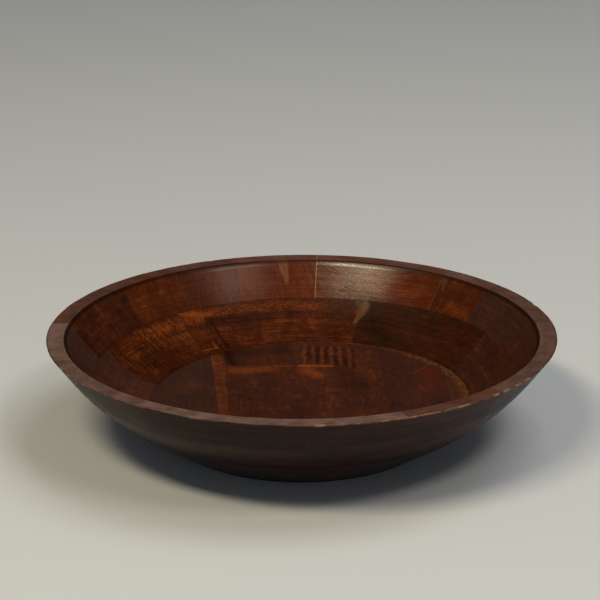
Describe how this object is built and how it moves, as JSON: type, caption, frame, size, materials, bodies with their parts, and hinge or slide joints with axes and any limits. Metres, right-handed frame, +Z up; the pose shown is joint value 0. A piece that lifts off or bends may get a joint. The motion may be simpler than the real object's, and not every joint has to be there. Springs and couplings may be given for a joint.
{
  "type": "wooden bowl",
  "caption": "Wide shallow turned hardwood bowl, glued up from blocks in courses, with a flat rim, a flared wall and a flat foot.",
  "frame": {"origin": "centre of the flat foot, on the surface that the bowl stands on", "axes": "+Z up through the mouth, +Y towards the back of the bowl as it is usually shown, +X to its right"},
  "size_m": [0.41, 0.41, 0.087],
  "materials": {
    "umber": "stained and satin lacquered hardwood",
    "chestnut": "stained and satin lacquered hardwood",
    "russet": "stained and satin lacquered hardwood",
    "olive": "stained and satin lacquered hardwood",
    "amber": "stained and satin lacquered hardwood",
    "sapwood": "stained and satin lacquered hardwood"
  },
  "bodies": {
    "root": {"base_board_01": "umber", "base_board_02": "umber", "base_strip": "amber", "base_board_03": "chestnut", "base_board_04": "chestnut", "base_board_05": "russet", "base_board_06": "umber", "middle_block_01": "olive", "middle_block_02": "chestnut", "middle_block_03": "amber", "middle_block_04": "umber", "middle_block_05": "chestnut", "middle_block_06": "umber", "middle_block_07": "olive", "middle_block_08": "umber", "middle_block_09": "chestnut", "rim_block_01": "umber", "rim_block_02": "amber", "rim_block_03": "chestnut", "rim_block_04": "chestnut", "rim_block_05": "umber", "rim_block_06": "amber", "rim_block_07": "chestnut", "rim_block_08": "sapwood", "rim_block_09": "russet", "rim_block_10": "sapwood", "rim_block_11": "umber", "rim_block_12": "russet", "rim_block_13": "chestnut", "rim_block_14": "umber", "rim_block_15": "russet"}
  },
  "joints": []
}
